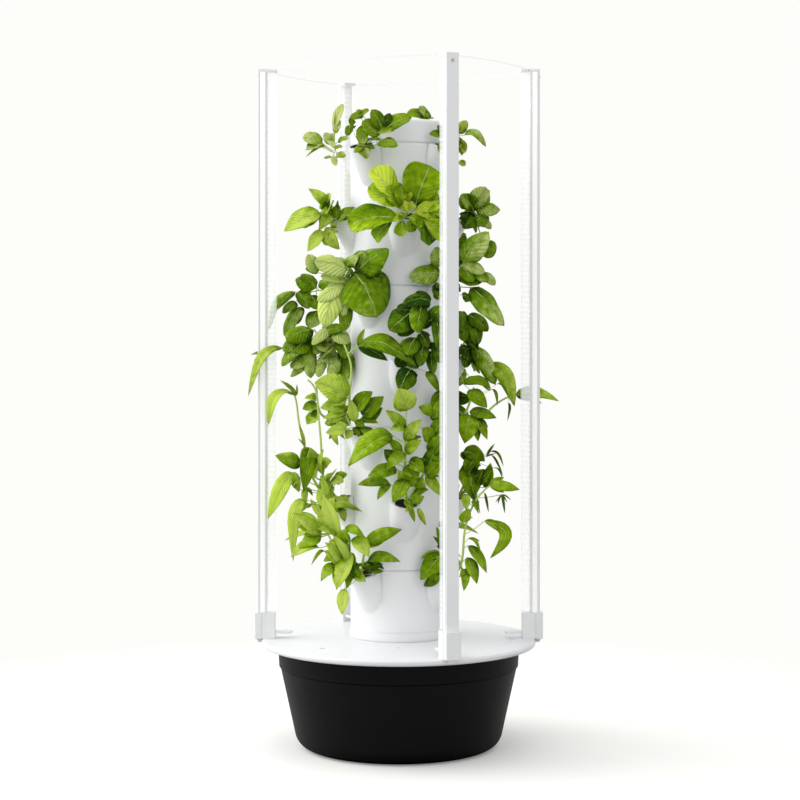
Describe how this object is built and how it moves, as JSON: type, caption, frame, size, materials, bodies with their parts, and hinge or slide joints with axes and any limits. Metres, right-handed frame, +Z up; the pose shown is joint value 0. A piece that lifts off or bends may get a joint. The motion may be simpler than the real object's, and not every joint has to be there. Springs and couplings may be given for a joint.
{
  "type": "vertical hydroponic garden",
  "caption": "Free-standing white planting column with plants in staggered ports, on a round lid over a black water tub, ringed by slim light posts joined at the top.",
  "frame": {"origin": "floor level, on the column's axis, in the middle of the tub's flat foot", "axes": "+Z up the column, -Y towards the front, +X to the right as seen from the front"},
  "size_m": [0.7277, 0.6363, 1.573],
  "materials": {
    "tub_black": "matt moulded",
    "lid_white": "satin moulded",
    "tower_white": "satin moulded",
    "cup_black": "moulded",
    "growing_medium": "coarse fibre",
    "foliage": "fresh leaf",
    "post_white": "powder coat",
    "lens_clear": "milky clear extrusion",
    "led_board": "white solder mask",
    "socket_white": "satin moulded",
    "tie_clear": "clear rod",
    "screw_steel": "bright zinc",
    "rubber_black": "matt",
    "pump_black": "moulded",
    "pump_white": "moulded",
    "pipe_white": "extruded"
  },
  "bodies": {
    "root": {"reservoir": "tub_black", "reservoir_lid": "lid_white", "cover_pivot_screw": "screw_steel", "cord_gland": "rubber_black", "pump_body": "pump_black", "pump_intake_cover": "pump_black", "pump_feet": "rubber_black", "riser_tube": "pipe_white", "drip_distributor": "tower_white", "tower_base": "tower_white", "tower_section_1": "tower_white", "tower_section_2": "tower_white", "tower_section_3": "tower_white", "net_cups_row_1": "cup_black", "grow_plugs_row_1": "growing_medium", "plants_row_1": "foliage", "net_cups_row_2": "cup_black", "grow_plugs_row_2": "growing_medium", "plants_row_2": "foliage", "net_cups_row_3": "cup_black", "grow_plugs_row_3": "growing_medium", "plants_row_3": "foliage", "net_cups_row_4": "cup_black", "grow_plugs_row_4": "growing_medium", "plants_row_4": "foliage", "net_cups_row_5": "cup_black", "grow_plugs_row_5": "growing_medium", "plants_row_5": "foliage", "net_cups_row_6": "cup_black", "grow_plugs_row_6": "growing_medium", "plants_row_6": "foliage", "net_cups_row_7": "cup_black", "grow_plugs_row_7": "growing_medium", "plants_row_7": "foliage", "post_socket_left": "socket_white", "post_socket_front": "socket_white", "post_socket_right": "socket_white", "post_socket_back": "socket_white"},
    "light_frame": {"post_screws": "screw_steel", "top_tie_rods": "tie_clear", "light_channel_left": "post_white", "light_lens_left": "lens_clear", "led_strip_left": "led_board", "post_end_cap_left": "socket_white", "light_channel_front": "post_white", "light_lens_front": "lens_clear", "led_strip_front": "led_board", "post_end_cap_front": "socket_white", "light_channel_right": "post_white", "light_lens_right": "lens_clear", "led_strip_right": "led_board", "post_end_cap_right": "socket_white", "light_channel_back": "post_white", "light_lens_back": "lens_clear", "led_strip_back": "led_board", "post_end_cap_back": "socket_white"},
    "top_cap": {"top_cap": "tower_white"},
    "access_cover": {"access_cover": "lid_white"},
    "impeller": {"pump_impeller": "pump_white"}
  },
  "joints": [
    {"name": "light_frame_lift", "type": "slide", "parent": "root", "child": "light_frame", "axis": [0, 0, 1], "range_m": [0, 0.06]},
    {"name": "top_cap_lift", "type": "slide", "parent": "root", "child": "top_cap", "axis": [0, 0, 1], "range_m": [0, 0.08]},
    {"name": "access_cover_swing", "type": "hinge", "parent": "root", "child": "access_cover", "pos_m": [0.078, 0.2, 0.26], "axis": [0, 0, -1], "range_deg": [0, 100]},
    {"name": "impeller_spin", "type": "hinge", "parent": "root", "child": "impeller", "pos_m": [0, 0, 0.042], "axis": [0, 1, 0], "continuous": true}
  ]
}
